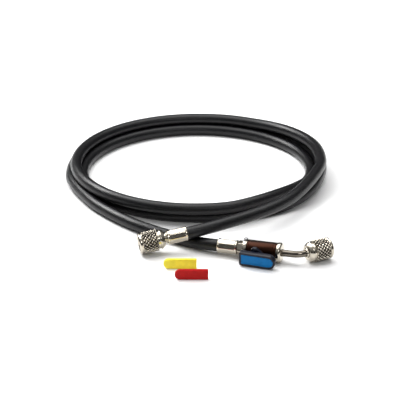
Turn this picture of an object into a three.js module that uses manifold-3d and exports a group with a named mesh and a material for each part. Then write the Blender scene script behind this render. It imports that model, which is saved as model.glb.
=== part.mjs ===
// Refrigerant charging hose with a ball valve, coiled in three turns on a level floor.
// Millimetres, +Z up. The view that shows it best looks along +Y, with +X to the right.

import * as THREE from 'three';
import { mergeVertices } from 'three/addons/utils/BufferGeometryUtils.js';
import Module from 'manifold-3d';

const wasm = await Module();
wasm.setup();

// Clearances
const JOINT_GAP = 0.3;
const LANE_GAP = 0.3;

// Hose
const HOSE_DIAMETER = 11.4;
const HOSE_SIDES = 10;
const HOSE_STEPS = 80;

// Coil: three lanes, two side by side on the floor and one in the valley above them
const COIL_CENTRE = new THREE.Vector3(1.5, 52.2, 0);
const INNER_LANE_RADIUS = 117.2;
const COIL_STEP_DEGREES = 15;

// Fittings on both ends of the hose
const FERRULE_LENGTH = 19;
const FERRULE_DIAMETER = 13.6;
const FERRULE_FLATS = 12.8;
const FERRULE_LIP = 1.8;
const FERRULE_EDGE = 0.5;
const FERRULE_SIDES = 8;
const BARB_DIAMETER = 7.4;
const BORE_DIAMETER = 4.8;
const NECK_DIAMETER = 8.8;
const NECK_LENGTH = 2.6;

// Swivel nuts
const NUT_DIAMETER = 20;
const NUT_LENGTH = 24.2;
const NUT_THREAD_DIAMETER = 12.7;
const NUT_MOUTH_DIAMETER = 13.8;
const NUT_CHAMFER = 1.2;
const NUT_KNURL_EDGE = 0.5;
const NUT_RIM_LENGTH = 3.2;
const NUT_KNURL_LENGTH = 14.6;
const NUT_GROOVE_LENGTH = 2;
const NUT_GROOVE_DIAMETER = 17;
const NUT_COLLAR_DIAMETER = 18.6;
const NUT_BACK_DIAMETER = 14.6;
const NUT_REAR_WALL = 10.6;
const SEAT_FLANGE_DIAMETER = 11.6;
const SEAT_FLANGE_LENGTH = 3;
const GASKET_DIAMETER = 11.8;
const GASKET_BORE = 5.4;
const GASKET_LENGTH = 1.9;
const DEPRESSOR_DISC_DIAMETER = 4;
const DEPRESSOR_DISC_LENGTH = 1.6;
const DEPRESSOR_PIN_DIAMETER = 1.6;
const DEPRESSOR_PIN_LENGTH = 2.2;

// Ball valve
const HEX_ACROSS_FLATS = 12.4;
const HEX_LENGTH = 5.6;
const INLET_FLANGE_LENGTH = 3.4;
const SPIGOT_LENGTH = 5.6;
const BODY_DIAMETER = 17.5;
const BODY_LENGTH = 27.6;
const BODY_BORE = 13;
const FLANGE_DIAMETER = BODY_DIAMETER;
const BOSS_DIAMETER = 9;
const BOSS_HEIGHT = 1;
const BALL_DIAMETER = 12;
const SEAT_BORE = 6.8;
const OUTLET_FLANGE_DIAMETER = 18.4;
const OUTLET_FLANGE_LENGTH = 4.2;
const OUTLET_FLANGE_CHAMFER = 1.2;
const OUTLET_SOCKET_DEPTH = 2.6;
const LOCK_SCREW_HEAD_DIAMETER = 3.8;
const LOCK_SCREW_HEAD_HEIGHT = 1.6;
const LOCK_SCREW_SHANK_DIAMETER = 1.8;
const LOCK_SCREW_SHANK_LENGTH = 2.2;

// Stem, lever and colour inserts
const STEM_DIAMETER = 5;
const STEM_TANG_WIDTH = 3;
const STEM_TANG_DEPTH = 2;
const STEM_END_ACROSS_FLATS = 3.4;
const STEM_END_LENGTH = 5;
const STEM_TANG_LENGTH = 4.6;
const HUB_DIAMETER = 10.6;
const HUB_LENGTH = 4;
const STOP_THICKNESS = 3;
const STOP_OUTLINE = [[-7.5, 0], [4, 0], [4, 3.6], [-2.6, 9.2], [-5.6, 9.2], [-7.5, 7.4]];
const LEVER_DEPTH = 6;
const LEVER_WALL = 1.7;
const LEVER_CORNER = 1.6;
const INSERT_LENGTH = 29.8;
const INSERT_WIDTH = 9.3;
const INSERT_THICKNESS = 3.4;
const INSERT_CORNER = 0.7;
const INSERT_EDGE = 0.4;

// Bent outlet tube
const TUBE_DIAMETER = 6.35;
const TUBE_BORE = 4.4;
const TUBE_BEND_RADIUS = 15.7;
const TUBE_BEND_DEGREES = 45;
const TUBE_RUN_IN = 9.3;
const TUBE_RUN_OUT = 1.5;
const TAIL_SOCKET_DEPTH = 7.5;
const TAIL_COLLAR_LENGTH = 1.5;

// Where the fittings lie
const STRAIGHT_END = new THREE.Vector3(-9.2, -177, 17.2);
const STRAIGHT_END_YAW = 191;
const STRAIGHT_END_FALL = 8.8;
const VALVE_END = new THREE.Vector3(19.3, -184.2, 8.25);
const VALVE_END_YAW = -18.1;
const VALVE_END_RISE = 1.2;
const LEVER_TILT = 6;
const LEVER_TURN = 2;
const OUTLET_ROLL = 0.9;
const YELLOW_INSERT = new THREE.Vector3(-15.4, -216.8, 0);
const RED_INSERT = new THREE.Vector3(-5, -238.8, 0);

// Materials
const nickel = () => new THREE.MeshStandardMaterial({ color: 0xc9c4b8, metalness: 1, roughness: 0.25 });
const brownMetal = () => new THREE.MeshStandardMaterial({ color: 0x7a4535, metalness: 0.8, roughness: 0.35 });
const brass = () => new THREE.MeshStandardMaterial({ color: 0xb8923f, metalness: 1, roughness: 0.3 });
const steel = () => new THREE.MeshStandardMaterial({ color: 0x8c8c8e, metalness: 1, roughness: 0.35 });
const plastic = (color) => new THREE.MeshStandardMaterial({ color, metalness: 0, roughness: 0.45 });
const rubber = () => new THREE.MeshStandardMaterial({ color: 0x1c1c1f, metalness: 0, roughness: 0.55 });

// Solid helpers

function toManifold(geometry) {
  const bare = geometry.clone();
  bare.deleteAttribute('normal');
  bare.deleteAttribute('uv');
  const merged = mergeVertices(bare, 1e-4);
  const corners = merged.index.array;
  const triangles = [];
  for (let i = 0; i < corners.length; i += 3) {
    const [a, b, c] = corners.slice(i, i + 3);
    if (a !== b && b !== c && c !== a) {
      triangles.push(a, b, c);
    }
  }
  return new wasm.Manifold(new wasm.Mesh({
    numProp: 3,
    vertProperties: new Float32Array(merged.attributes.position.array),
    triVerts: new Uint32Array(triangles),
  }));
}

function toGeometry(solid) {
  const mesh = solid.getMesh();
  const geometry = new THREE.BufferGeometry();
  geometry.setAttribute('position', new THREE.BufferAttribute(mesh.vertProperties, 3));
  geometry.setIndex(new THREE.BufferAttribute(mesh.triVerts, 1));
  geometry.computeVertexNormals();
  return geometry;
}

const join = (...parts) => toGeometry(parts.map(toManifold).reduce((sum, part) => sum.add(part)));

const cut = (body, ...tools) =>
  toGeometry(tools.map(toManifold).reduce((rest, tool) => rest.subtract(tool), toManifold(body)));

function named(name, geometry, material) {
  const mesh = new THREE.Mesh(geometry, material);
  mesh.name = name;
  return mesh;
}

// A turned piece along +X. Its outline is a list of [distance along X, radius] pairs,
// forward along the outside and back along the bore.
function turned(outline, segments = 32) {
  const points = outline.map(([along, radius]) => new THREE.Vector2(radius, along));
  if (outline[0][1] > 0) {
    points.push(points[0].clone());
  }
  return new THREE.LatheGeometry(points, segments).rotateZ(-Math.PI / 2);
}

const tubeOutline = (start, end, outer, inner) =>
  [[start, inner], [start, outer], [end, outer], [end, inner]];

const rodOutline = (start, end, radius) => [[start, 0], [start, radius], [end, radius], [end, 0]];

const barbRadius = BARB_DIAMETER / 2;
const boreRadius = BORE_DIAMETER / 2;
const neckRadius = NECK_DIAMETER / 2;

// A prism along +X with flat sides
function prism(start, length, acrossFlats, sides) {
  const radius = acrossFlats / 2 / Math.cos(Math.PI / sides);
  return new THREE.CylinderGeometry(radius, radius, length, sides)
    .rotateZ(-Math.PI / 2)
    .translate(start + length / 2, 0, 0);
}

// Hose

// Each key is [degrees round the coil, offset from the inner lane, height], chosen by hand:
// the strand crosses over its own start, runs round on top, drops to the inner lane
// behind the crossing, and moves out under itself to the outer lane.
const laneStep = HOSE_DIAMETER + LANE_GAP;
const floorHeight = HOSE_DIAMETER / 2;
const topHeight = floorHeight + laneStep * Math.sin(Math.PI / 3);
const COIL_KEYS = [
  [345, 8.8, 24.2],
  [360, 6.8, 23.7],
  [390, 5.7, 20.5],
  [420, laneStep / 2, 16.5],
  [450, laneStep / 2, topHeight],
  [540, laneStep / 2, topHeight],
  [585, 4.3, 16.2],
  [615, 3.4, 16.2],
  [645, 3.1, 16.5],
  [660, 0.8, 17.4],
  [675, -2.9, 15.5],
  [690, -5, 11.2],
  [705, -3.5, 7.1],
  [720, -2, floorHeight + 0.15],
  [750, 0, floorHeight],
  [810, 0, floorHeight],
  [900, -1.1, floorHeight],
  [945, -2.6, floorHeight],
  [990, -3.8, floorHeight],
  [1005, -2.1, floorHeight],
  [1020, 0.8, floorHeight],
  [1035, 4.6, 6.3],
  [1050, 6.5, 8.2],
  [1065, 7.3, 10.5],
  [1080, 8.2, 11.4],
  [1110, 11, 8.6],
  [1140, laneStep, floorHeight + 0.15],
  [1245, laneStep, floorHeight],
];

// Points chosen by hand, from the coil's centre on the floor: the free run from the straight
// end up onto the coil, and the free run from the coil along the floor to the valve end
const START_RUN = [
  [-1.4, -175.5, 18.4],
  [15.5, -168.9, 20.3],
  [25.6, -162.9, 20.8],
  [49.2, -148, 21.9],
  [73.2, -129.8, 23.4],
  [94.4, -103.6, 24.5],
];
const END_RUN = [
  [-127.8, -10.6, 5.7],
  [-123, -33.2, 5.7],
  [-113.4, -56.7, 5.7],
  [-99.5, -83.3, 5.7],
  [-83.7, -105.1, 5.7],
  [-66.6, -124.7, 5.7],
  [-51.2, -139.2, 5.7],
  [-34.9, -151.6, 5.7],
  [-19.8, -161.4, 5.8],
  [-8.3, -169.1, 6.2],
  [3, -176.6, 7],
  [14.5, -182.6, 8.15],
];

function coilPoints() {
  const points = [];
  const first = COIL_KEYS[0][0];
  const last = COIL_KEYS[COIL_KEYS.length - 1][0];
  for (let angle = first; angle <= last; angle += COIL_STEP_DEGREES) {
    const next = COIL_KEYS.findIndex(([key]) => key > angle);
    const high = next < 0 ? COIL_KEYS.length - 1 : next;
    const [a0, r0, z0] = COIL_KEYS[high - 1];
    const [a1, r1, z1] = COIL_KEYS[high];
    const share = THREE.MathUtils.smoothstep(angle, a0, a1);
    const radius = INNER_LANE_RADIUS + THREE.MathUtils.lerp(r0, r1, share);
    const turn = THREE.MathUtils.degToRad(angle);
    points.push(new THREE.Vector3(
      radius * Math.cos(turn),
      radius * Math.sin(turn),
      THREE.MathUtils.lerp(z0, z1, share),
    ));
  }
  return points;
}

// The way out of the hose at each end, as a unit vector
function heading(yaw, rise) {
  const turn = THREE.MathUtils.degToRad(yaw);
  const climb = THREE.MathUtils.degToRad(rise);
  return new THREE.Vector3(
    Math.cos(turn) * Math.cos(climb),
    Math.sin(turn) * Math.cos(climb),
    Math.sin(climb),
  );
}

function hose() {
  const towardsStraightEnd = heading(STRAIGHT_END_YAW, -STRAIGHT_END_FALL);
  const towardsValveEnd = heading(VALVE_END_YAW, VALVE_END_RISE);
  const route = new THREE.CatmullRomCurve3([
    STRAIGHT_END.clone().addScaledVector(towardsStraightEnd, -JOINT_GAP),
    ...START_RUN.map((point) => new THREE.Vector3(...point)),
    ...coilPoints(),
    ...END_RUN.map((point) => new THREE.Vector3(...point)),
    VALVE_END.clone().addScaledVector(towardsValveEnd, -JOINT_GAP),
  ]);
  const section = new THREE.Shape(
    new THREE.EllipseCurve(0, 0, HOSE_DIAMETER / 2, HOSE_DIAMETER / 2)
      .getPoints(HOSE_SIDES)
      .slice(0, -1),
  );
  return new THREE.ExtrudeGeometry(section, {
    steps: HOSE_STEPS,
    bevelEnabled: false,
    extrudePath: route,
  });
}

// Fittings that both ends share, from the end of the hose outwards along +X

function ferrule() {
  const radius = FERRULE_DIAMETER / 2;
  const waist = FERRULE_FLATS / 2;
  const collar = FERRULE_LENGTH - FERRULE_LIP;
  const shell = join(
    prism(FERRULE_LIP / 2, FERRULE_LENGTH - FERRULE_LIP, FERRULE_FLATS, FERRULE_SIDES),
    turned([[0, 0], [0, waist], [FERRULE_EDGE, radius], [FERRULE_LIP, radius],
      [FERRULE_LIP + FERRULE_EDGE, waist - FERRULE_EDGE], [FERRULE_LIP + FERRULE_EDGE, 0]]),
    turned([[collar - FERRULE_EDGE, 0], [collar - FERRULE_EDGE, waist - FERRULE_EDGE],
      [collar, radius], [FERRULE_LENGTH - FERRULE_EDGE, radius], [FERRULE_LENGTH, waist],
      [FERRULE_LENGTH, 0]]),
  );
  return cut(shell, turned(rodOutline(-1, FERRULE_LENGTH + 1, barbRadius + JOINT_GAP), 24));
}

// Swivel nut with its back at 0 and its mouth at NUT_LENGTH
function nut() {
  const radius = NUT_DIAMETER / 2;
  const back = NUT_BACK_DIAMETER / 2;
  const knurlStart = NUT_LENGTH - NUT_RIM_LENGTH - NUT_KNURL_LENGTH;
  const grooveStart = knurlStart - NUT_GROOVE_LENGTH;
  const rimStart = NUT_LENGTH - NUT_RIM_LENGTH;
  const mouth = NUT_MOUTH_DIAMETER / 2;
  const thread = NUT_THREAD_DIAMETER / 2;
  return turned([
    [0, neckRadius + JOINT_GAP],
    [0, back],
    [grooveStart, NUT_COLLAR_DIAMETER / 2],
    [grooveStart, NUT_GROOVE_DIAMETER / 2],
    [knurlStart, NUT_GROOVE_DIAMETER / 2],
    [knurlStart, radius - NUT_KNURL_EDGE],
    [knurlStart + NUT_KNURL_EDGE, radius],
    [rimStart - NUT_KNURL_EDGE, radius],
    [rimStart, radius - NUT_KNURL_EDGE],
    [NUT_LENGTH - NUT_CHAMFER, radius - NUT_KNURL_EDGE],
    [NUT_LENGTH, radius - NUT_KNURL_EDGE - NUT_CHAMFER],
    [NUT_LENGTH, mouth],
    [NUT_LENGTH - (mouth - thread), thread],
    [NUT_REAR_WALL, thread],
    [NUT_REAR_WALL, neckRadius + JOINT_GAP],
  ]);
}

// Pieces in a nut, from the nut's back: the seat flange behind its rear wall and the gasket on it
const seatStart = NUT_REAR_WALL + JOINT_GAP;
const seatFace = seatStart + SEAT_FLANGE_LENGTH;
const gasketStart = seatFace + JOINT_GAP;

const gasket = () => turned(
  tubeOutline(gasketStart, gasketStart + GASKET_LENGTH, GASKET_DIAMETER / 2, GASKET_BORE / 2),
);

// Barb, neck and seat flange of the straight end
function tailStraightEnd() {
  const neckStart = FERRULE_LENGTH + JOINT_GAP;
  const nutBack = FERRULE_LENGTH + NECK_LENGTH;
  return turned([
    [JOINT_GAP, boreRadius],
    [JOINT_GAP, barbRadius],
    [neckStart, barbRadius],
    [neckStart, neckRadius],
    [nutBack + seatStart, neckRadius],
    [nutBack + seatStart, SEAT_FLANGE_DIAMETER / 2],
    [nutBack + seatFace, SEAT_FLANGE_DIAMETER / 2],
    [nutBack + seatFace, boreRadius],
  ]);
}

// Ball valve, from the end of the hose along +X with the stem along +Z

const hexStart = FERRULE_LENGTH + JOINT_GAP;
const flangeStart = hexStart + HEX_LENGTH;
const bodyStart = flangeStart + INLET_FLANGE_LENGTH + JOINT_GAP;
const bodyEnd = bodyStart + BODY_LENGTH;
const bodyMiddle = (bodyStart + bodyEnd) / 2;
const spigotRadius = BODY_BORE / 2 - JOINT_GAP;
const outletFlangeStart = bodyEnd + JOINT_GAP;
const outletFace = outletFlangeStart + OUTLET_FLANGE_LENGTH;

const upright = (radius, bottom, top, segments) =>
  new THREE.CylinderGeometry(radius, radius, top - bottom, segments)
    .rotateX(Math.PI / 2)
    .translate(0, 0, (bottom + top) / 2);

function block(sizeX, sizeY, bottom, top) {
  return new THREE.BoxGeometry(sizeX, sizeY, top - bottom).translate(0, 0, (bottom + top) / 2);
}

function valveInlet() {
  const flangeEnd = flangeStart + INLET_FLANGE_LENGTH;
  const flangeRadius = FLANGE_DIAMETER / 2;
  const solid = join(
    turned(rodOutline(JOINT_GAP, hexStart + 1, barbRadius), 24),
    prism(hexStart, HEX_LENGTH + 1, HEX_ACROSS_FLATS, 6),
    turned([[flangeStart, 0], [flangeStart, flangeRadius - FERRULE_EDGE],
      [flangeStart + FERRULE_EDGE, flangeRadius], [flangeEnd, flangeRadius], [flangeEnd, 0]]),
    turned(rodOutline(flangeEnd - 1, bodyStart + SPIGOT_LENGTH, spigotRadius)),
  );
  const screwHole = upright(
    LOCK_SCREW_SHANK_DIAMETER / 2 + JOINT_GAP,
    flangeRadius - LOCK_SCREW_SHANK_LENGTH - JOINT_GAP,
    flangeRadius + 1,
    12,
  ).translate(flangeStart + INLET_FLANGE_LENGTH / 2, 0, 0);
  return cut(solid, turned(rodOutline(0, bodyEnd, boreRadius), 24), screwHole);
}

function lockScrew() {
  const seat = FLANGE_DIAMETER / 2 + JOINT_GAP;
  return join(
    upright(LOCK_SCREW_SHANK_DIAMETER / 2, seat - LOCK_SCREW_SHANK_LENGTH, seat + 0.5, 12),
    upright(LOCK_SCREW_HEAD_DIAMETER / 2, seat, seat + LOCK_SCREW_HEAD_HEIGHT, 16),
  ).translate(flangeStart + INLET_FLANGE_LENGTH / 2, 0, 0);
}

function valveBody() {
  const radius = BODY_DIAMETER / 2;
  const barrel = join(
    turned([[bodyStart, 0], [bodyStart, radius - FERRULE_EDGE], [bodyStart + FERRULE_EDGE, radius],
      [bodyEnd - FERRULE_EDGE, radius], [bodyEnd, radius - FERRULE_EDGE], [bodyEnd, 0]], 40),
    upright(BOSS_DIAMETER / 2, BODY_BORE / 2, radius + BOSS_HEIGHT, 24).translate(bodyMiddle, 0, 0),
  );
  return cut(
    barrel,
    turned(rodOutline(bodyStart - 1, bodyEnd + 1, BODY_BORE / 2)),
    upright(STEM_DIAMETER / 2 + JOINT_GAP, 0, radius + BOSS_HEIGHT + 1, 16)
      .translate(bodyMiddle, 0, 0),
  );
}

// The ball's place is the origin here
function ball() {
  const radius = BALL_DIAMETER / 2;
  return cut(
    new THREE.SphereGeometry(radius, 24, 16),
    turned(rodOutline(-radius - 1, radius + 1, boreRadius), 24),
    block(
      STEM_TANG_WIDTH + 2 * JOINT_GAP,
      BALL_DIAMETER,
      radius - STEM_TANG_DEPTH - JOINT_GAP,
      radius + 1,
    ),
  );
}

// A seat ring from the end of a spigot to a 45 degree cone just clear of the ball.
// The ball's place is the origin here, and the ring lies on its -X side.
function seatRing() {
  const back = SPIGOT_LENGTH + JOINT_GAP - BODY_LENGTH / 2;
  const cone = (radius) => radius - (BALL_DIAMETER / 2 + JOINT_GAP) * Math.SQRT2;
  const inner = SEAT_BORE / 2;
  return turned([[back, inner], [back, spigotRadius], [cone(spigotRadius), spigotRadius],
    [cone(inner), inner]]);
}

function stem() {
  const ballTop = BALL_DIAMETER / 2;
  const shoulder = BODY_DIAMETER / 2 + BOSS_HEIGHT;
  return join(
    block(STEM_TANG_WIDTH, STEM_TANG_LENGTH, ballTop - STEM_TANG_DEPTH, ballTop + 1),
    upright(STEM_DIAMETER / 2, ballTop + JOINT_GAP, shoulder, 16),
    block(STEM_END_ACROSS_FLATS, STEM_END_ACROSS_FLATS, shoulder - 1, shoulder + STEM_END_LENGTH),
  );
}

// Outline with one square end and one round end, shared by the lever and the colour inserts
function paddleShape(length, width, corner) {
  const half = width / 2;
  const square = -length / 2;
  const shape = new THREE.Shape();
  shape.moveTo(square + corner, -half);
  shape.absarc(length / 2 - half, 0, half, -Math.PI / 2, Math.PI / 2, false);
  shape.absarc(square + corner, half - corner, corner, Math.PI / 2, Math.PI, false);
  shape.absarc(square + corner, corner - half, corner, Math.PI, 1.5 * Math.PI, false);
  return shape;
}

function insert() {
  const shape = paddleShape(INSERT_LENGTH, INSERT_WIDTH, INSERT_CORNER);
  return new THREE.ExtrudeGeometry(shape, {
    depth: INSERT_THICKNESS - 2 * INSERT_EDGE,
    curveSegments: 8,
    bevelThickness: INSERT_EDGE,
    bevelSize: INSERT_EDGE,
    bevelOffset: -INSERT_EDGE,
    bevelSegments: 1,
  }).translate(0, 0, INSERT_EDGE);
}

const hubStart = BODY_DIAMETER / 2 + BOSS_HEIGHT + JOINT_GAP;
const paddleBack = hubStart + HUB_LENGTH;
const paddleFace = paddleBack + LEVER_DEPTH;

function lever() {
  const rim = LEVER_WALL + JOINT_GAP;
  const flat = (shape, bottom, top) =>
    new THREE.ExtrudeGeometry(shape, { depth: top - bottom, curveSegments: 8, bevelEnabled: false })
      .translate(0, 0, bottom);
  const stop = new THREE.Shape(STOP_OUTLINE.map(([x, y]) => new THREE.Vector2(x, y)));
  const outside = paddleShape(INSERT_LENGTH + 2 * rim, INSERT_WIDTH + 2 * rim, LEVER_CORNER);
  const pocket = paddleShape(
    INSERT_LENGTH + 2 * JOINT_GAP,
    INSERT_WIDTH + 2 * JOINT_GAP,
    INSERT_CORNER,
  );
  const socket = STEM_END_ACROSS_FLATS + 2 * JOINT_GAP;
  const stemTop = BODY_DIAMETER / 2 + BOSS_HEIGHT + STEM_END_LENGTH;
  return cut(
    join(
      upright(HUB_DIAMETER / 2, hubStart, paddleBack + 1, 24),
      flat(stop, hubStart, hubStart + STOP_THICKNESS),
      flat(outside, paddleBack, paddleFace),
    ),
    flat(pocket, paddleFace - INSERT_THICKNESS - JOINT_GAP, paddleFace + 1),
    block(socket, socket, hubStart - 1, stemTop + JOINT_GAP),
  );
}

function valveOutlet() {
  const radius = OUTLET_FLANGE_DIAMETER / 2;
  const socketRadius = TUBE_DIAMETER / 2 + JOINT_GAP;
  return turned([
    [bodyEnd - SPIGOT_LENGTH, boreRadius],
    [bodyEnd - SPIGOT_LENGTH, spigotRadius],
    [outletFlangeStart, spigotRadius],
    [outletFlangeStart, radius - FERRULE_EDGE],
    [outletFlangeStart + FERRULE_EDGE, radius],
    [outletFace - OUTLET_FLANGE_CHAMFER, radius],
    [outletFace, radius - OUTLET_FLANGE_CHAMFER],
    [outletFace, socketRadius],
    [outletFace - OUTLET_SOCKET_DEPTH, socketRadius],
    [outletFace - OUTLET_SOCKET_DEPTH, boreRadius],
  ]);
}

// Bent outlet, with the valve's outlet face at the origin

const bendTurn = THREE.MathUtils.degToRad(TUBE_BEND_DEGREES);
const bendEnd = new THREE.Vector3(
  TUBE_RUN_IN + TUBE_BEND_RADIUS * Math.sin(bendTurn),
  TUBE_BEND_RADIUS * (1 - Math.cos(bendTurn)),
  0,
);
const afterBend = (distance) => bendEnd.clone().add(
  new THREE.Vector3(Math.cos(bendTurn), Math.sin(bendTurn), 0).multiplyScalar(distance),
);
const tubeEnd = TUBE_RUN_OUT - TAIL_COLLAR_LENGTH + TAIL_SOCKET_DEPTH - JOINT_GAP;

class BentTubeLine extends THREE.Curve {
  getPoint(t, target = new THREE.Vector3()) {
    const start = JOINT_GAP - OUTLET_SOCKET_DEPTH;
    const runIn = TUBE_RUN_IN - start;
    const bend = TUBE_BEND_RADIUS * bendTurn;
    const at = t * (runIn + bend + tubeEnd);
    if (at <= runIn) {
      return target.set(start + at, 0, 0);
    }
    if (at >= runIn + bend) {
      return target.copy(afterBend(at - runIn - bend));
    }
    const turn = (at - runIn) / TUBE_BEND_RADIUS;
    return target.set(
      TUBE_RUN_IN + TUBE_BEND_RADIUS * Math.sin(turn),
      TUBE_BEND_RADIUS * (1 - Math.cos(turn)),
      0,
    );
  }
}

function bentTube() {
  const ring = (diameter) =>
    new THREE.EllipseCurve(0, 0, diameter / 2, diameter / 2).getPoints(20).slice(0, -1);
  const section = new THREE.Shape(ring(TUBE_DIAMETER));
  section.holes.push(new THREE.Path(ring(TUBE_BORE)));
  return new THREE.ExtrudeGeometry(section, {
    steps: 24,
    bevelEnabled: false,
    extrudePath: new BentTubeLine(),
  });
}

// From the back of the nut on the bent tube: the tail that takes the tube and carries the nut
function tailAngledEnd() {
  const socketRadius = TUBE_DIAMETER / 2 + JOINT_GAP;
  return turned([
    [-TAIL_COLLAR_LENGTH, socketRadius],
    [-TAIL_COLLAR_LENGTH, neckRadius],
    [seatStart, neckRadius],
    [seatStart, SEAT_FLANGE_DIAMETER / 2],
    [seatFace, SEAT_FLANGE_DIAMETER / 2],
    [seatFace, boreRadius],
    [TAIL_SOCKET_DEPTH - TAIL_COLLAR_LENGTH, boreRadius],
    [TAIL_SOCKET_DEPTH - TAIL_COLLAR_LENGTH, socketRadius],
  ]);
}

function depressor() {
  const disc = seatFace - JOINT_GAP - DEPRESSOR_DISC_LENGTH;
  const pin = DEPRESSOR_PIN_DIAMETER / 2;
  return turned([
    [disc, 0],
    [disc, DEPRESSOR_DISC_DIAMETER / 2],
    [disc + DEPRESSOR_DISC_LENGTH, DEPRESSOR_DISC_DIAMETER / 2],
    [disc + DEPRESSOR_DISC_LENGTH, pin],
    [disc + DEPRESSOR_DISC_LENGTH + DEPRESSOR_PIN_LENGTH, pin],
    [disc + DEPRESSOR_DISC_LENGTH + DEPRESSOR_PIN_LENGTH, 0],
  ], 16);
}

// Assembly

function group(...children) {
  const result = new THREE.Group();
  result.add(...children);
  return result;
}

// A group whose +X is turned to a yaw and a rise, in degrees
function aimed(place, yaw, rise, ...children) {
  const result = group(...children);
  result.position.copy(place);
  result.rotation.set(
    0,
    -THREE.MathUtils.degToRad(rise),
    THREE.MathUtils.degToRad(yaw),
    'ZYX',
  );
  return result;
}

function moved(x, y, z, ...children) {
  const result = group(...children);
  result.position.set(x, y, z);
  return result;
}

function straightEnd() {
  return aimed(
    STRAIGHT_END,
    STRAIGHT_END_YAW,
    -STRAIGHT_END_FALL,
    named('ferrule_straight_end', ferrule(), nickel()),
    named('tail_straight_end', tailStraightEnd(), nickel()),
    moved(
      FERRULE_LENGTH + NECK_LENGTH, 0, 0,
      named('nut_straight_end', nut(), nickel()),
      named('gasket_straight_end', gasket(), rubber()),
    ),
  );
}

function valve() {
  const outletSeat = named('seat_outlet', seatRing(), plastic(0xe8e4da));
  outletSeat.rotation.z = Math.PI;
  const blue = named('insert_blue', insert(), plastic(0x1679c8));
  blue.position.z = paddleFace - INSERT_THICKNESS;
  const turning = group(
    named('ball', ball(), nickel()),
    named('stem', stem(), brass()),
    named('lever', lever(), plastic(0x111318)),
    blue,
  );
  turning.rotation.z = -THREE.MathUtils.degToRad(LEVER_TURN);
  const core = group(
    named('valve_body', valveBody(), brownMetal()),
    moved(
      bodyMiddle, 0, 0,
      named('seat_inlet', seatRing(), plastic(0xe8e4da)),
      outletSeat,
      turning,
    ),
  );
  core.rotation.x = THREE.MathUtils.degToRad(90 + LEVER_TILT);
  return core;
}

function bentOutlet() {
  const nutPlace = moved(
    0, 0, 0,
    named('tail_angled_end', tailAngledEnd(), nickel()),
    named('nut_angled_end', nut(), nickel()),
    named('gasket_angled_end', gasket(), rubber()),
    named('depressor', depressor(), brass()),
  );
  nutPlace.position.copy(afterBend(TUBE_RUN_OUT));
  nutPlace.rotation.z = bendTurn;
  const outlet = moved(
    outletFace, 0, 0,
    named('bent_tube', bentTube(), nickel()),
    nutPlace,
  );
  outlet.rotation.x = THREE.MathUtils.degToRad(OUTLET_ROLL);
  return outlet;
}

function valveEnd() {
  return aimed(
    VALVE_END,
    VALVE_END_YAW,
    VALVE_END_RISE,
    named('ferrule_valve_end', ferrule(), nickel()),
    named('valve_inlet', valveInlet(), nickel()),
    named('lock_screw', lockScrew(), steel()),
    named('valve_outlet', valveOutlet(), nickel()),
    valve(),
    bentOutlet(),
  );
}

// A spare insert stands on its long edge, with its face to the front and its round end to the left
function spareInsert(name, color, place) {
  const mesh = named(name, insert(), plastic(color));
  mesh.position.set(place.x, place.y, place.z + INSERT_WIDTH / 2);
  mesh.rotation.set(Math.PI / 2, Math.PI, 0, 'XYZ');
  return mesh;
}

const layout = moved(
  COIL_CENTRE.x, COIL_CENTRE.y, COIL_CENTRE.z,
  named('hose', hose(), rubber()),
  straightEnd(),
  valveEnd(),
  spareInsert('insert_yellow', 0xefe03c, YELLOW_INSERT),
  spareInsert('insert_red', 0xb01c22, RED_INSERT),
);

export default layout;
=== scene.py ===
"""Refrigerant charging hose: three turns of black rubber hose, a swivel nut on each end,
a small ball valve with a coloured lever, and two spare colour inserts.
Lengths in the tables are millimetres, and everything is built in metres."""

import bpy
import math
import numpy as np
from mathutils import Matrix, Vector


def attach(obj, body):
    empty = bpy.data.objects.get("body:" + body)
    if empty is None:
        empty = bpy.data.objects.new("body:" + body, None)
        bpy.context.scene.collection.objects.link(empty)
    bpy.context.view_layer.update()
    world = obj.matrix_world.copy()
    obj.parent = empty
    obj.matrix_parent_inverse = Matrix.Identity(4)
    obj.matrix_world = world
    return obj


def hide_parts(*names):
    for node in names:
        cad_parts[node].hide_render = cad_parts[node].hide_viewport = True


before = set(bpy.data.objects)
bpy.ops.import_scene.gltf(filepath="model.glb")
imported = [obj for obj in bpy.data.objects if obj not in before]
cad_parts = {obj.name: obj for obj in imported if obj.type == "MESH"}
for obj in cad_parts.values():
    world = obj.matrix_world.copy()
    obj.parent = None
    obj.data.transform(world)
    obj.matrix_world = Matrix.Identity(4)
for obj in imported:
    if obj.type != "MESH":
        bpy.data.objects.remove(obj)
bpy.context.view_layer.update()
MM = 0.001

# Sizes shared with the solids

GAP = 0.3
HOSE_D = 11.4
COIL_CENTRE = Vector((1.5, 52.2, 0))
INNER_LANE = 117.2
STRAIGHT_END = Vector((-9.2, -177, 17.2))
STRAIGHT_YAW, STRAIGHT_RISE = 191, -8.8
VALVE_END = Vector((19.3, -184.2, 8.25))
VALVE_YAW, VALVE_RISE = -18.1, 1.2
LEVER_TILT, LEVER_TURN, OUTLET_ROLL = 6, 2, 0.9

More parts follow.
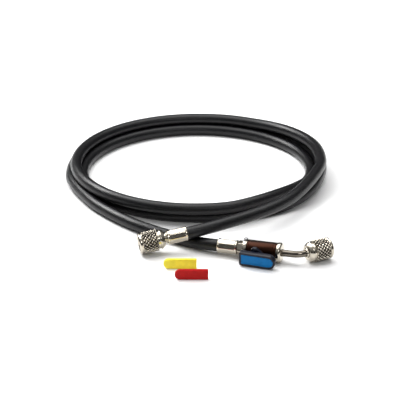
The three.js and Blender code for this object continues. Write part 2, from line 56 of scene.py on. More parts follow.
FERRULE_L, FERRULE_D, FERRULE_AF, LIP = 19, 13.6, 12.8, 1.8
BARB_R, BORE_R, NECK_R, NECK_L = 3.7, 2.4, 4.4, 2.6
NUT_D, NUT_L, NUT_RIM, NUT_KNURL, NUT_GROOVE = 20, 24.2, 3.2, 14.6, 2
NUT_WALL, SEAT_R, SEAT_L = 10.6, 5.8, 3
HEX_AF, HEX_L, FLANGE_R, FLANGE_L, SPIGOT_L = 12.4, 5.6, 8.75, 3.4, 5.6
BODY_R, BODY_L, BODY_BORE_R, BOSS_R, BOSS_H = 8.75, 27.6, 6.5, 4.5, 1
OUT_R, OUT_L, OUT_SOCKET = 9.2, 4.2, 2.6
STEM_R, HUB_R, HUB_L, LEVER_T = 2.5, 5.3, 4, 6
INS_L, INS_W, INS_T, LEVER_WALL = 29.8, 9.3, 3.4, 1.7
TUBE_R, TUBE_BORE_R, BEND_R, BEND_DEG, RUN_IN, RUN_OUT = 3.175, 2.2, 15.7, 45, 9.3, 1.5
TAIL_SOCKET, TAIL_COLLAR = 7.5, 1.5
STOP_OUTLINE = [(-7.5, 0), (4, 0), (4, 3.6), (-2.6, 9.2), (-5.6, 9.2), (-7.5, 7.4)]
STOP_T = 3
YELLOW_INSERT, RED_INSERT = Vector((-15.4, -216.8, 0)), Vector((-5, -238.8, 0))

HEX_S = FERRULE_L + GAP
FLANGE_S = HEX_S + HEX_L
BODY_S = FLANGE_S + FLANGE_L + GAP
BODY_E = BODY_S + BODY_L
OUT_S = BODY_E + GAP
OUT_E = OUT_S + OUT_L
SEAT_S = NUT_WALL + GAP


def aim(place, yaw, rise):
    return (Matrix.Translation(COIL_CENTRE + place)
            @ Matrix.Rotation(math.radians(yaw), 4, "Z")
            @ Matrix.Rotation(math.radians(-rise), 4, "Y"))


def rot(degrees, axis):
    return Matrix.Rotation(math.radians(degrees), 4, axis)


STRAIGHT = aim(STRAIGHT_END, STRAIGHT_YAW, STRAIGHT_RISE)
STRAIGHT_NUT = STRAIGHT @ Matrix.Translation((FERRULE_L + NECK_L, 0, 0))
VALVE = aim(VALVE_END, VALVE_YAW, VALVE_RISE)
CORE = VALVE @ rot(90 + LEVER_TILT, "X")
LEVER = CORE @ Matrix.Translation(((BODY_S + BODY_E) / 2, 0, 0)) @ rot(-LEVER_TURN, "Z")
OUTLET = VALVE @ Matrix.Translation((OUT_E, 0, 0)) @ rot(OUTLET_ROLL, "X")
TURN = math.radians(BEND_DEG)
AFTER_BEND = Vector((RUN_IN + BEND_R * math.sin(TURN), BEND_R * (1 - math.cos(TURN)), 0))
OUT_WAY = Vector((math.cos(TURN), math.sin(TURN), 0))
ANGLED_NUT = OUTLET @ Matrix.Translation(AFTER_BEND + RUN_OUT * OUT_WAY) @ rot(BEND_DEG, "Z")

# Camera at the photograph's angle

camera = bpy.data.objects.new("camera", bpy.data.cameras.new("camera"))
bpy.context.collection.objects.link(camera)
camera.location = (COIL_CENTRE + Vector((2.54, -1580.0, 660.5))) * MM
camera.rotation_euler = (math.radians(66.5), 0, 0)
camera.data.sensor_width = 36
camera.data.lens = 151.2
camera.data.clip_start = 0.05
camera.data.clip_end = 20
bpy.context.scene.camera = camera

# Materials


class Shader:
    """A node material with a few short calls for its bump, colour and roughness."""

    def __init__(self, name, color, rough, metal=0.0, **constants):
        self.mat = bpy.data.materials.new(name)
        self.mat.use_nodes = True
        self.tree = self.mat.node_tree
        self.bsdf = self.tree.nodes["Principled BSDF"]
        self.bsdf.inputs["Base Color"].default_value = (*color, 1)
        self.bsdf.inputs["Roughness"].default_value = rough
        self.bsdf.inputs["Metallic"].default_value = metal
        for key, value in constants.items():
            self.bsdf.inputs[key.replace("_", " ")].default_value = value
        self.color = color
        self.coords = self.tree.nodes.new("ShaderNodeTexCoord")
        self.normal = None

    def noise(self, scale, detail=4.0, stretch=None, source="Object"):
        out = self.coords.outputs[source]
        if stretch:
            mapping = self.tree.nodes.new("ShaderNodeMapping")
            mapping.inputs["Scale"].default_value = stretch
            self.tree.links.new(out, mapping.inputs["Vector"])
            out = mapping.outputs["Vector"]
        node = self.tree.nodes.new("ShaderNodeTexNoise")
        node.inputs["Scale"].default_value = scale
        node.inputs["Detail"].default_value = detail
        self.tree.links.new(out, node.inputs["Vector"])
        return node.outputs["Fac"]

    def span(self, fac, low, high, start=0.3, end=0.7):
        node = self.tree.nodes.new("ShaderNodeMapRange")
        node.inputs["From Min"].default_value = start
        node.inputs["From Max"].default_value = end
        node.inputs["To Min"].default_value = low
        node.inputs["To Max"].default_value = high
        self.tree.links.new(fac, node.inputs["Value"])
        return node.outputs["Result"]

    def roughness(self, fac, low, high):
        self.tree.links.new(self.span(fac, low, high), self.bsdf.inputs["Roughness"])
        return self

    def tint(self, fac, low, high):
        node = self.tree.nodes.new("ShaderNodeMix")
        node.data_type = "RGBA"
        node.inputs["A"].default_value = (*low, 1)
        node.inputs["B"].default_value = (*high, 1)
        self.tree.links.new(self.span(fac, 0, 1), node.inputs["Factor"])
        self.tree.links.new(node.outputs["Result"], self.bsdf.inputs["Base Color"])
        return self

    def bump(self, fac, distance, strength=1.0):
        node = self.tree.nodes.new("ShaderNodeBump")
        node.inputs["Strength"].default_value = strength
        node.inputs["Distance"].default_value = distance
        self.tree.links.new(fac, node.inputs["Height"])
        if self.normal:
            self.tree.links.new(self.normal, node.inputs["Normal"])
        self.normal = node.outputs["Normal"]
        self.tree.links.new(self.normal, self.bsdf.inputs["Normal"])
        return self


def metal(name, color, rough, spread=0.08, scale=350):
    shader = Shader(name, color, rough, 1.0)
    dark = tuple(0.82 * c for c in color)
    return (shader.roughness(shader.noise(scale), rough - spread / 2, rough + spread / 2)
            .tint(shader.noise(scale / 3, 2), dark, color)
            .bump(shader.noise(scale * 4, 3), 0.00002))


def plastic(name, color, rough, **constants):
    shader = Shader(name, color, rough, 0.0, **constants)
    dark = tuple(0.86 * c for c in color)
    return (shader.roughness(shader.noise(500), rough - 0.04, rough + 0.06)
            .tint(shader.noise(220, 3), dark, color)
            .bump(shader.noise(2600, 4), 0.00003))


rubber = Shader("rubber_black", (0.003, 0.003, 0.004), 0.3, Specular_IOR_Level=0.3)
rubber.roughness(rubber.noise(60, 5, (0.6, 7, 1), "UV"), 0.25, 0.36)
rubber.tint(rubber.noise(30, 6, (1, 5, 1), "UV"), (0.002, 0.002, 0.003), (0.006, 0.006, 0.007))
rubber.bump(rubber.noise(900, 4), 0.00006)
rubber.bump(rubber.noise(55, 3, (0.5, 4, 1), "UV"), 0.00012)

nickel = metal("nickel", (0.60, 0.55, 0.465), 0.17)
# A darker copy of nickel for the bent tube: painted shade
nickel_tube_painted_shade = metal("nickel_tube_painted_shade", (0.17, 0.15, 0.125), 0.14)
# Near-black nickel: painted shade for the bottoms of the knurl grooves
nickel_groove_painted_shade = metal("nickel_groove_painted_shade", (0.02, 0.017, 0.013), 0.4)
brown = metal("valve_brown", (0.036, 0.0145, 0.009), 0.3, 0.08, 200)
screw_steel = metal("screw_steel", (0.42, 0.42, 0.43), 0.3)
brass = metal("brass", (0.62, 0.45, 0.18), 0.28)
black_plastic = plastic("lever_black", (0.003, 0.005, 0.014), 0.3, Specular_IOR_Level=0.3)
blue_plastic = plastic("insert_blue", (0.002, 0.155, 0.42), 0.4, Specular_IOR_Level=0.15)
yellow_plastic = plastic("insert_yellow", (0.97, 0.84, 0.06), 0.45, Specular_IOR_Level=0.2)
red_plastic = plastic("insert_red", (0.46, 0.008, 0.008), 0.45, Specular_IOR_Level=0.12)
seat_plastic = plastic("seat_white", (0.80, 0.79, 0.75), 0.4)
gasket_rubber = plastic("gasket_rubber", (0.012, 0.012, 0.014), 0.5)

# Mesh building


def piece(name, verts, faces, matrix, shader, body, slot, nodes=(), angle=32, uvs=None):
    """A named piece from points in millimetres, placed by matrix, that stands for CAD nodes."""
    mesh = bpy.data.meshes.new(name)
    placed = [tuple((matrix @ Vector(v)) * MM) for v in verts]
    mesh.from_pydata(placed, [], faces)
    if uvs:
        layer = mesh.uv_layers.new(name="uv")
        flat = [c for face in uvs for corner in face for c in corner]
        layer.data.foreach_set("uv", flat)
    mesh.validate()
    mesh.shade_smooth()
    mesh.set_sharp_from_angle(angle=math.radians(angle))
    mesh.materials.append(shader.mat)
    obj = bpy.data.objects.new(name, mesh)
    bpy.context.collection.objects.link(obj)
    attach(obj, body)
    if nodes:
        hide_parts(*nodes)
    return obj


def rings(outline, segments=96):
    """Verts and faces of a closed outline of (along, radius) turned about X. A radius may be a
    function of the angle. The outline runs forward outside and back along the bore, and an
    outline that starts and ends at radius 0 has no bore."""
    verts, faces = [], []
    angles = [2 * math.pi * k / segments for k in range(segments)]
    index = []
    for along, radius in outline:
        if not callable(radius) and radius == 0:
            index.append([len(verts)] * segments)
            verts.append((along, 0, 0))
            continue
        index.append(list(range(len(verts), len(verts) + segments)))
        for a in angles:
            r = radius(a) if callable(radius) else radius
            t = along(a) if callable(along) else along
            verts.append((t, r * math.cos(a), r * math.sin(a)))
    pairs = list(zip(index, index[1:]))
    if index[0][0] != index[0][1]:
        pairs.append((index[-1], index[0]))
    for low, high in pairs:
        for k in range(segments):
            n = (k + 1) % segments
            face = []
            for v in (low[k], low[n], high[n], high[k]):
                if v not in face:
                    face.append(v)
            if len(face) > 2:
                faces.append(tuple(face[::-1]))
    return verts, faces


def soften(outline, edge=0.25, closed=True):
    """The outline with each sharp corner cut into a small two-step round."""
    out = []
    n = len(outline)
    for k, (x, r) in enumerate(outline):
        before, after = outline[k - 1], outline[(k + 1) % n]
        ends = not closed and k in (0, n - 1)
        if ends or r == 0:
            out.append((x, r))
            continue
        a = Vector((before[0] - x, before[1] - r))
        b = Vector((after[0] - x, after[1] - r))
        if a.length < 1e-6 or b.length < 1e-6 or abs(a.angle(b) - math.pi) < 0.25:
            out.append((x, r))
            continue
        cut = min(edge, 0.4 * a.length, 0.4 * b.length)
        p, q = a.normalized() * cut, b.normalized() * cut
        mid = (p + q) * 0.3
        out += [(x + p.x, r + p.y), (x + mid.x, r + mid.y), (x + q.x, r + q.y)]
    return out


def turned(name, outline, matrix, shader, body, slot, nodes=(), edge=0.25, segments=96):
    solid = outline[0][1] == 0
    verts, faces = rings(soften(outline, edge, not solid), segments)
    return piece(name, verts, faces, matrix, shader, body, slot, nodes, 24)


def join_meshes(*parts):
    verts, faces = [], []
    for v, f in parts:
        base = len(verts)
        verts += v
        faces += [tuple(i + base for i in face) for face in f]
    return verts, faces


def upright(part):
    """Turns verts made about X so that they stand about Z."""
    verts, faces = part
    return [(-z, y, x) for x, y, z in verts], faces


def shifted(part, x=0.0, y=0.0, z=0.0):
    return [(a + x, b + y, c + z) for a, b, c in part[0]], part[1]


# Hose: the same route as the solid's

LANE = HOSE_D + GAP
LOW = HOSE_D / 2
TOP = LOW + LANE * math.sin(math.pi / 3)
COIL_KEYS = [
    (345, 8.8, 24.2), (360, 6.8, 23.7), (390, 5.7, 20.5), (420, LANE / 2, 16.5),
    (450, LANE / 2, TOP), (540, LANE / 2, TOP), (585, 4.3, 16.2), (615, 3.4, 16.2),
    (645, 3.1, 16.5), (660, 0.8, 17.4), (675, -2.9, 15.5), (690, -5, 11.2), (705, -3.5, 7.1),
    (720, -2, LOW + 0.15), (750, 0, LOW), (810, 0, LOW), (900, -1.1, LOW), (945, -2.6, LOW),
    (990, -3.8, LOW), (1005, -2.1, LOW), (1020, 0.8, LOW), (1035, 4.6, 6.3), (1050, 6.5, 8.2),
    (1065, 7.3, 10.5), (1080, 8.2, 11.4), (1110, 11, 8.6), (1140, LANE, LOW + 0.15),
    (1245, LANE, LOW),
]
START_RUN = [(-1.4, -175.5, 18.4), (15.5, -168.9, 20.3), (25.6, -162.9, 20.8), (49.2, -148, 21.9),
             (73.2, -129.8, 23.4), (94.4, -103.6, 24.5)]
END_RUN = [(-127.8, -10.6, 5.7), (-123, -33.2, 5.7), (-113.4, -56.7, 5.7), (-99.5, -83.3, 5.7),
           (-83.7, -105.1, 5.7), (-66.6, -124.7, 5.7), (-51.2, -139.2, 5.7), (-34.9, -151.6, 5.7),
           (-19.8, -161.4, 5.8), (-8.3, -169.1, 6.2), (3, -176.6, 7), (14.5, -182.6, 8.15)]


def coil_points():
    points = []
    for angle in range(COIL_KEYS[0][0], COIL_KEYS[-1][0] + 1, 15):
        high = next((k for k, key in enumerate(COIL_KEYS) if key[0] > angle), len(COIL_KEYS) - 1)
        (a0, r0, z0), (a1, r1, z1) = COIL_KEYS[high - 1], COIL_KEYS[high]
        t = min(1, max(0, (angle - a0) / (a1 - a0)))
        t = t * t * (3 - 2 * t)
        radius = INNER_LANE + r0 + (r1 - r0) * t
        turn = math.radians(angle)
        points.append(Vector((radius * math.cos(turn), radius * math.sin(turn),
                              z0 + (z1 - z0) * t)))
    return points


def smooth_route(points, per_span):
    """Centripetal Catmull-Rom curve through the points."""
    full = [2 * points[0] - points[1], *points, 2 * points[-1] - points[-2]]
    out = []
    for p0, p1, p2, p3 in zip(full, full[1:], full[2:], full[3:]):
        t1 = (p1 - p0).length ** 0.5
        t2 = t1 + (p2 - p1).length ** 0.5
        t3 = t2 + (p3 - p2).length ** 0.5
        for k in range(per_span):
            t = t1 + (t2 - t1) * k / per_span
            a1 = (t1 - t) / t1 * p0 + t / t1 * p1
            a2 = (t2 - t) / (t2 - t1) * p1 + (t - t1) / (t2 - t1) * p2
            a3 = (t3 - t) / (t3 - t2) * p2 + (t - t2) / (t3 - t2) * p3
            b1 = (t2 - t) / t2 * a1 + t / t2 * a2
            b2 = (t3 - t) / (t3 - t1) * a2 + (t - t1) / (t3 - t1) * a3
            out.append((t2 - t) / (t2 - t1) * b1 + (t - t1) / (t2 - t1) * b2)
    out.append(points[-1].copy())
    return out


def tube(points, radius, bore=0.0, segments=32):
    """Verts, faces and corner UVs (metres along, turns around) of a closed tube or bar."""
    count = len(points)
    ways = []
    for k in range(count):
        ways.append((points[min(k + 1, count - 1)] - points[max(k - 1, 0)]).normalized())
    side = ways[0].cross(Vector((0, 0, 1))).normalized()
    frames, run = [], [0.0]
    for k in range(count):
        side = (side - side.dot(ways[k]) * ways[k]).normalized()
        frames.append((side, ways[k].cross(side)))
        if k:
            run.append(run[-1] + (points[k] - points[k - 1]).length)
    verts, faces, uvs = [], [], []

    def shell(r):
        first = len(verts)
        for p, (u, w) in zip(points, frames):
            for s in range(segments):
                a = 2 * math.pi * s / segments
                verts.append(tuple(p + r * (math.cos(a) * u + math.sin(a) * w)))
        return first

    def wall(first, flip):
        for k in range(count - 1):
            for s in range(segments):
                n = (s + 1) % segments
                a, b = first + k * segments, first + (k + 1) * segments
                face = (a + s, b + s, b + n, a + n)
                v0, v1 = run[k] * MM * 10, run[k + 1] * MM * 10
                s0, s1 = s / segments, (s + 1) / segments
                uv = ((v0, s0), (v1, s0), (v1, s1), (v0, s1))
                faces.append(face[::-1] if flip else face)
                uvs.append(uv[::-1] if flip else uv)

    outer = shell(radius)
    wall(outer, True)
    last = (count - 1) * segments
    if bore:
        inner = shell(bore)
        wall(inner, False)
        for start, flip in ((0, False), (last, True)):
            for s in range(segments):
                n = (s + 1) % segments
                face = (outer + start + s, outer + start + n, inner + start + n, inner + start + s)
                faces.append(face[::-1] if flip else face)
                uvs.append(((0, 0),) * 4)
    else:
        faces.append(tuple(range(segments)))
        faces.append(tuple(range(last, last + segments))[::-1])
        uvs += [((0, 0),) * segments] * 2
    return verts, faces, uvs


route = smooth_route([
    STRAIGHT_END - GAP * (STRAIGHT.to_3x3() @ Vector((1, 0, 0))),
    *[Vector(p) for p in START_RUN],
    *coil_points(),
    *[Vector(p) for p in END_RUN],
    VALVE_END - GAP * (VALVE.to_3x3() @ Vector((1, 0, 0))),
], 8)
route = [p + COIL_CENTRE for p in route]
verts, faces, uvs = tube(route, HOSE_D / 2)
hose = piece("hose_rubber", verts, faces, Matrix(), rubber, "hose_assembly", "rubber_black",
             ["hose"], 60, uvs)

# Crimped ferrules


def polygon(across, sides, round_radius, phase=0.0):
    """Radius of a flat-sided section whose corners are cut back to round_radius."""
    half = math.pi / sides

    def radius(a):
        inside = (a + phase) % (2 * half) - half
        return min(across / 2 / math.cos(inside), round_radius)

    return radius


def ferrule(name, matrix, node):
    flat = polygon(FERRULE_AF - 0.1, 8, FERRULE_D / 2 - 0.1)
    lip = FERRULE_D / 2
    bore = BARB_R + 0.15
    outline = [
        (0, bore), (0, lip - 0.7), (0.25, lip - 0.25), (0.7, lip), (LIP - 0.4, lip),
        (LIP, lip - 0.15), (LIP + 0.5, flat), (LIP + 1.2, flat),
        (FERRULE_L - LIP - 1.6, flat), (FERRULE_L - LIP - 0.9, flat),
        (FERRULE_L - LIP - 0.4, lip - 0.5), (FERRULE_L - LIP, lip - 0.1),
        (FERRULE_L - LIP + 0.4, lip), (FERRULE_L - 0.6, lip), (FERRULE_L - 0.2, lip - 0.3),
        (FERRULE_L, lip - 0.9), (FERRULE_L, bore),
    ]
    verts, faces = rings(outline, 96)
    return piece(name, verts, faces, matrix, nickel, "hose_assembly", "nickel", [node], 20)


ferrule("ferrule_straight", STRAIGHT, "ferrule_straight_end")
ferrule("ferrule_valve", VALVE, "ferrule_valve_end")

# Swivel nuts with a diamond knurl and an inside thread

KNURLS = 18
KNURL_DEPTH = 0.95
KNURL_STEPS = 56
THREAD_PITCH = 1.27
THREAD_STEPS = 60
NUT_SEGMENTS = 240


def knurl_radius(along):
    """Two crossing rows of V grooves, which leave four-sided points between them."""
    def radius(a):
        turns = a * KNURLS / (2 * math.pi)
        rise = along * KNURLS / (math.pi * NUT_D)
        one = abs(((turns + rise) % 1) - 0.5) * 2
        two = abs(((turns - rise) % 1) - 0.5) * 2
        groove = max(one, two)
        return NUT_D / 2 - KNURL_DEPTH * max(0, (groove - 0.25) / 0.75)
    return radius


def thread_radius(along):
    def radius(a):
        phase = (along / THREAD_PITCH + a / (2 * math.pi)) % 1
        return 6.05 + 0.42 * abs(2 * phase - 1)
    return radius


def nut(name, matrix, body, node):
    r = NUT_D / 2
    rim_s = NUT_L - NUT_RIM
    knurl_s = rim_s - NUT_KNURL
    groove_s = knurl_s - NUT_GROOVE
    bore = NECK_R + 0.12
    outline = [
        (0, bore), (0, 6.7), (0.25, 7.15), (0.9, 7.6), (1.9, 8.35), (3.0, 9.0),
        (3.5, 9.25), (groove_s - 0.35, 9.3), (groove_s - 0.1, 9.15), (groove_s, 8.85),
        (groove_s + 0.1, 8.5), (knurl_s - 0.1, 8.5), (knurl_s, 8.8), (knurl_s + 0.3, 9.45),
    ]
    for k in range(KNURL_STEPS + 1):
        along = knurl_s + 0.6 + (NUT_KNURL - 1.2) * k / KNURL_STEPS
        outline.append((along, knurl_radius(along)))
    outline += [
        (rim_s - 0.3, 9.45), (rim_s, 9.3), (rim_s + 0.25, 9.5), (rim_s + 0.6, 9.62),
        (NUT_L - 1.3, 9.62), (NUT_L - 1.0, 9.45), (NUT_L - 0.15, 8.5), (NUT_L, 8.25),
        (NUT_L, 7.2), (NUT_L - 0.15, 7.0), (NUT_L - 0.9, 6.5),
    ]
    first, last = NUT_L - 1.1, NUT_WALL + 0.6
    for k in range(THREAD_STEPS + 1):
        along = first + (last - first) * k / THREAD_STEPS
        outline.append((along, thread_radius(along)))
    outline += [(NUT_WALL + 0.3, 6.3), (NUT_WALL, 6.2), (NUT_WALL, bore)]
    verts, faces = rings(outline, NUT_SEGMENTS)
    obj = piece(name, verts, faces, matrix, nickel, body, "nickel", [node], 38)
    # The knurl groove bottoms get the near-black nickel, painted shade in the grooves
    obj.data.materials.append(nickel_groove_painted_shade.mat)
    for face, corners in zip(obj.data.polygons, faces):
        points = [verts[k] for k in corners]
        along = sum(p[0] for p in points) / len(points)
        depth = r - sum(math.hypot(p[1], p[2]) for p in points) / len(points)
        if knurl_s + 0.5 < along < rim_s - 0.5 and KNURL_DEPTH * 0.58 < depth < 1:
            face.material_index = 1
    return obj


nut("nut_straight", STRAIGHT_NUT, "swivel_straight_end", "nut_straight_end")
nut("nut_angled", ANGLED_NUT, "swivel_angled_end", "nut_angled_end")

# Tails that the nuts turn on

turned("tail_straight", [
    (GAP, BORE_R), (GAP, BARB_R), (FERRULE_L + 0.05, BARB_R), (FERRULE_L + 0.05, 5.6),
    (FERRULE_L + 0.9, 5.6), (FERRULE_L + 1.3, NECK_R),
    (FERRULE_L + NECK_L + SEAT_S, NECK_R), (FERRULE_L + NECK_L + SEAT_S, SEAT_R),
    (FERRULE_L + NECK_L + SEAT_S + SEAT_L, SEAT_R),
    (FERRULE_L + NECK_L + SEAT_S + SEAT_L, BORE_R),
], STRAIGHT, nickel, "hose_assembly", "nickel", ["tail_straight_end"])

turned("tail_angled", [
    (-TAIL_COLLAR, TUBE_R + 0.02), (-TAIL_COLLAR, NECK_R), (SEAT_S, NECK_R), (SEAT_S, SEAT_R),
    (SEAT_S + SEAT_L, SEAT_R), (SEAT_S + SEAT_L, BORE_R), (TAIL_SOCKET - TAIL_COLLAR, BORE_R),
    (TAIL_SOCKET - TAIL_COLLAR, TUBE_R + 0.02),
], ANGLED_NUT, nickel, "hose_assembly", "nickel", ["tail_angled_end"])

# Ball valve

hexagon = polygon(HEX_AF, 6, HEX_AF / 2 / math.cos(math.pi / 6) - 0.15)


def chamfered(limit):
    return lambda a: min(hexagon(a), limit)


inlet = rings([
    (GAP, BORE_R), (GAP, BARB_R), (HEX_S, BARB_R), (HEX_S, 5.9), (HEX_S + 0.35, chamfered(6.5)),
    (HEX_S + 0.8, hexagon), (FLANGE_S - 0.9, hexagon), (FLANGE_S - 0.5, chamfered(6.5)),
    (FLANGE_S - 0.4, 6.0), (FLANGE_S, 6.0), (FLANGE_S, FLANGE_R - 0.5),
    (FLANGE_S + 0.15, FLANGE_R - 0.15), (FLANGE_S + 0.5, FLANGE_R),
    (FLANGE_S + FLANGE_L - 0.4, FLANGE_R), (FLANGE_S + FLANGE_L - 0.1, FLANGE_R - 0.1),
    (FLANGE_S + FLANGE_L, FLANGE_R - 0.4), (FLANGE_S + FLANGE_L, BODY_BORE_R - 0.1),
    (BODY_S + SPIGOT_L, BODY_BORE_R - 0.1), (BODY_S + SPIGOT_L, BORE_R),
], 96)
piece("valve_inlet_fitting", *inlet, VALVE, nickel, "hose_assembly", "nickel",
      ["valve_inlet"], 22)

SCREW_AT = FLANGE_S + FLANGE_L / 2
head = upright(rings([(FLANGE_R - 1.8, 0), (FLANGE_R - 1.8, 0.9), (FLANGE_R + 0.1, 0.9),
                      (FLANGE_R + 0.1, 1.7), (FLANGE_R + 0.3, 1.9), (FLANGE_R + 1.3, 1.9),
                      (FLANGE_R + 1.7, 1.6), (FLANGE_R + 1.9, 1.0), (FLANGE_R + 1.4, 0.9),
                      (FLANGE_R + 1.2, 0)], 48))
piece("lock_screw_head", *shifted(head, SCREW_AT), VALVE, screw_steel, "hose_assembly",
      "screw_steel", ["lock_screw"], 30)

barrel = rings(soften([
    (BODY_S, BODY_BORE_R), (BODY_S, BODY_R - 0.35), (BODY_S + 0.35, BODY_R),
    (BODY_S + 2.2, BODY_R), (BODY_S + 2.35, BODY_R - 0.22), (BODY_S + 2.6, BODY_R - 0.22),
    (BODY_S + 2.75, BODY_R), (BODY_E - 2.75, BODY_R), (BODY_E - 2.6, BODY_R - 0.22),
    (BODY_E - 2.35, BODY_R - 0.22), (BODY_E - 2.2, BODY_R), (BODY_E - 0.35, BODY_R),
    (BODY_E, BODY_R - 0.35), (BODY_E, BODY_BORE_R)], 0.12), 128)
boss = upright(rings(soften([
    (BODY_BORE_R, STEM_R + 0.15), (BODY_BORE_R, BOSS_R), (BODY_R + BOSS_H, BOSS_R),
    (BODY_R + BOSS_H, STEM_R + 0.15)], 0.3), 64))
piece("valve_barrel", *join_meshes(barrel, shifted(boss, (BODY_S + BODY_E) / 2)), CORE, brown,
      "hose_assembly", "valve_brown", ["valve_body"], 26)

turned("valve_outlet_ring", [
    (BODY_E - SPIGOT_L, BORE_R), (BODY_E - SPIGOT_L, BODY_BORE_R - 0.1),
    (OUT_S, BODY_BORE_R - 0.1), (OUT_S, OUT_R - 0.4), (OUT_S + 0.4, OUT_R),
    (OUT_E - 1.2, OUT_R), (OUT_E, OUT_R - 1.2), (OUT_E, 4.6), (OUT_E, TUBE_R + 0.03),
    (OUT_E - OUT_SOCKET, TUBE_R + 0.03), (OUT_E - OUT_SOCKET, BORE_R),
], VALVE, nickel, "hose_assembly", "nickel", ["valve_outlet"], 0.3)

bend_line = [Vector((x, 0, 0)) for x in (GAP - OUT_SOCKET, 0, 4, 8)]
for k in range(25):
    a = TURN * k / 24
    bend_line.append(Vector((RUN_IN + BEND_R * math.sin(a), BEND_R * (1 - math.cos(a)), 0)))
for along in (RUN_OUT, RUN_OUT + TAIL_SOCKET - TAIL_COLLAR - GAP):
    bend_line.append(AFTER_BEND + along * OUT_WAY)
verts, faces, uvs = tube(bend_line, TUBE_R, TUBE_BORE_R, 48)
# The bent tube wears the darkened nickel, painted shade
piece("outlet_tube", verts, faces, OUTLET, nickel_tube_painted_shade, "hose_assembly", "nickel", ["bent_tube"],
      60, uvs)

# Lever and colour inserts


def paddle(length, width, corner, steps=20):
    """Outline points with one square end and one round end."""
    half, square = width / 2, -length / 2
    points = []

    def arc(cx, cy, r, start, end, count):
        for k in range(count + 1):
            a = math.radians(start + (end - start) * k / count)
            points.append((cx + r * math.cos(a), cy + r * math.sin(a)))

    arc(length / 2 - half, 0, half, -90, 90, steps)
    arc(square + corner, half - corner, corner, 90, 180, 5)
    arc(square + corner, corner - half, corner, 180, 270, 5)
    return points


def inward(points, distance):
    """The outline moved inwards by distance along its own normals."""
    out = []
    n = len(points)
    for k, (x, y) in enumerate(points):
        (x0, y0), (x1, y1) = points[k - 1], points[(k + 1) % n]
        way = Vector((x1 - x0, y1 - y0)).normalized()
        out.append((x - way.y * distance, y + way.x * distance))
    return out


def layers(levels):
    """Verts and faces of a stack of outlines with equal counts: [(points, z), ...]."""
    n = len(levels[0][0])
    verts = [(x, y, z) for points, z in levels for x, y in points]
    faces = [tuple(range(n))[::-1], tuple(range(len(verts) - n, len(verts)))]
    for level in range(len(levels) - 1):
        a, b = level * n, (level + 1) * n
        for k in range(n):
            m = (k + 1) % n
            faces.append((a + k, a + m, b + m, b + k))
    return verts, faces


def insert_mesh():
    edge = paddle(INS_L, INS_W, 0.7)
    return layers([
        (inward(edge, 0.35), 0), (edge, 0.35), (edge, INS_T - 0.45),
        (inward(edge, 0.12), INS_T - 0.15), (inward(edge, 0.4), INS_T),
        (inward(edge, 0.75), INS_T), (inward(edge, 0.95), INS_T - 0.1),
        (inward(edge, 1.1), INS_T - 0.35),
    ])


PADDLE_BACK = BODY_R + BOSS_H + GAP + HUB_L
PADDLE_FACE = PADDLE_BACK + LEVER_T
rim = LEVER_WALL + GAP
outside = paddle(INS_L + 2 * rim, INS_W + 2 * rim, 1.6)
pocket = paddle(INS_L + 0.2, INS_W + 0.2, 0.8)
plate = layers([
    (inward(outside, 1.0), PADDLE_BACK), (inward(outside, 0.45), PADDLE_BACK + 0.12),
    (inward(outside, 0.12), PADDLE_BACK + 0.45), (outside, PADDLE_BACK + 1.0),
    (outside, PADDLE_FACE - 0.7), (inward(outside, 0.15), PADDLE_FACE - 0.25),
    (inward(outside, 0.45), PADDLE_FACE), (inward(outside, 1.0), PADDLE_FACE),
    (pocket, PADDLE_FACE - 0.3), (pocket, PADDLE_FACE - INS_T - 0.1),
])
hub = upright(rings([
    (PADDLE_BACK + 1.0, 0), (PADDLE_BACK + 1.0, HUB_R + 0.9), (PADDLE_BACK, HUB_R + 0.7),
    (PADDLE_BACK - 0.8, HUB_R + 0.15), (PADDLE_BACK - 2.2, HUB_R),
    (PADDLE_BACK - HUB_L + 0.5, HUB_R), (PADDLE_BACK - HUB_L + 0.1, HUB_R - 0.3),
    (PADDLE_BACK - HUB_L, HUB_R - 0.8), (PADDLE_BACK - HUB_L, 0),
][::-1], 64))
STOP_S = PADDLE_BACK - HUB_L
STOP_E = STOP_S + STOP_T
cam = layers([
    (inward(STOP_OUTLINE, 0.3), STOP_S), (STOP_OUTLINE, STOP_S + 0.3),
    (STOP_OUTLINE, STOP_E - 0.4), (inward(STOP_OUTLINE, 0.12), STOP_E - 0.1),
    (inward(STOP_OUTLINE, 0.4), STOP_E),
])
piece("lever_paddle", *join_meshes(plate, hub, cam), LEVER, black_plastic, "valve_lever",
      "lever_black", ["lever"], 35)
piece("insert_blue_face", *shifted(insert_mesh(), z=PADDLE_FACE - INS_T), LEVER, blue_plastic,
      "valve_lever", "insert_blue", ["insert_blue"], 35)

for name, place, shader in (("yellow", YELLOW_INSERT, yellow_plastic),
                            ("red", RED_INSERT, red_plastic)):
    stand = (Matrix.Translation(COIL_CENTRE + place + Vector((0, 0, INS_W / 2)))
             @ rot(90, "X") @ rot(180, "Y"))
    piece(f"insert_{name}_face", *insert_mesh(), stand, shader, "hose_assembly",
          f"insert_{name}", [f"insert_{name}"], 35)

# Solids that keep their own mesh

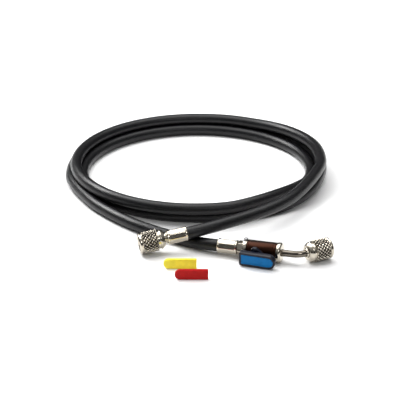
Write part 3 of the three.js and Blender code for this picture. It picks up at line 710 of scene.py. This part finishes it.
KEPT = {
    "gasket_straight_end": gasket_rubber, "gasket_angled_end": gasket_rubber,
    "ball": nickel, "seat_inlet": seat_plastic, "seat_outlet": seat_plastic,
    "stem": brass, "depressor": brass,
}
for node, shader in KEPT.items():
    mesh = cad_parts[node].data
    mesh.materials.clear()
    mesh.materials.append(shader.mat)

# Floor and light


def stage_floor():
    mesh = bpy.data.meshes.new("floor")
    size = 6
    mesh.from_pydata([(-size, -size, 0), (size, -size, 0), (size, size, 0), (-size, size, 0)],
                     [], [(0, 1, 2, 3)])
    floor = bpy.data.objects.new("floor", mesh)
    floor.location.z = -0.0002
    bpy.context.collection.objects.link(floor)
    paint = Shader("floor_white", (0.93, 0.93, 0.93), 0.9)
    mesh.materials.append(paint.mat)


def area(name, place, target, size, power):
    data = bpy.data.lights.new(name, "AREA")
    data.shape = "RECTANGLE"
    data.size, data.size_y = size
    data.energy = power
    light = bpy.data.objects.new(name, data)
    light.location = place
    light.rotation_euler = (Vector(target) - Vector(place)).to_track_quat("-Z", "Y").to_euler()
    bpy.context.collection.objects.link(light)


stage_floor()
area("softbox_top", (-0.1, 0.35, 1.5), (0, 0, 0), (2.0, 1.5), 30)
area("softbox_left", (-1.0, 0.9, 1.15), (0, 0.0, 0), (0.8, 0.5), 24)
area("softbox_front", (0.5, -1.5, 1.3), (0.05, -0.1, 0), (0.5, 0.35), 6)

world = bpy.data.worlds.new("studio")
world.use_nodes = True
nodes, links = world.node_tree.nodes, world.node_tree.links
where = nodes.new("ShaderNodeTexCoord")
split = nodes.new("ShaderNodeSeparateXYZ")
ramp = nodes.new("ShaderNodeValToRGB")
links.new(where.outputs["Generated"], split.inputs["Vector"])
links.new(split.outputs["Z"], ramp.inputs["Fac"])
ramp.color_ramp.elements[0].position = 0.08
ramp.color_ramp.elements[0].color = (0.03, 0.03, 0.03, 1)
ramp.color_ramp.elements[1].position = 0.75
ramp.color_ramp.elements[1].color = (0.45, 0.45, 0.45, 1)
mid = ramp.color_ramp.elements.new(0.4)
mid.color = (0.12, 0.12, 0.12, 1)
links.new(ramp.outputs["Color"], nodes["Background"].inputs["Color"])
nodes["Background"].inputs["Strength"].default_value = 1.0
bpy.context.scene.world = world
bpy.context.scene.view_settings.view_transform = "Standard"
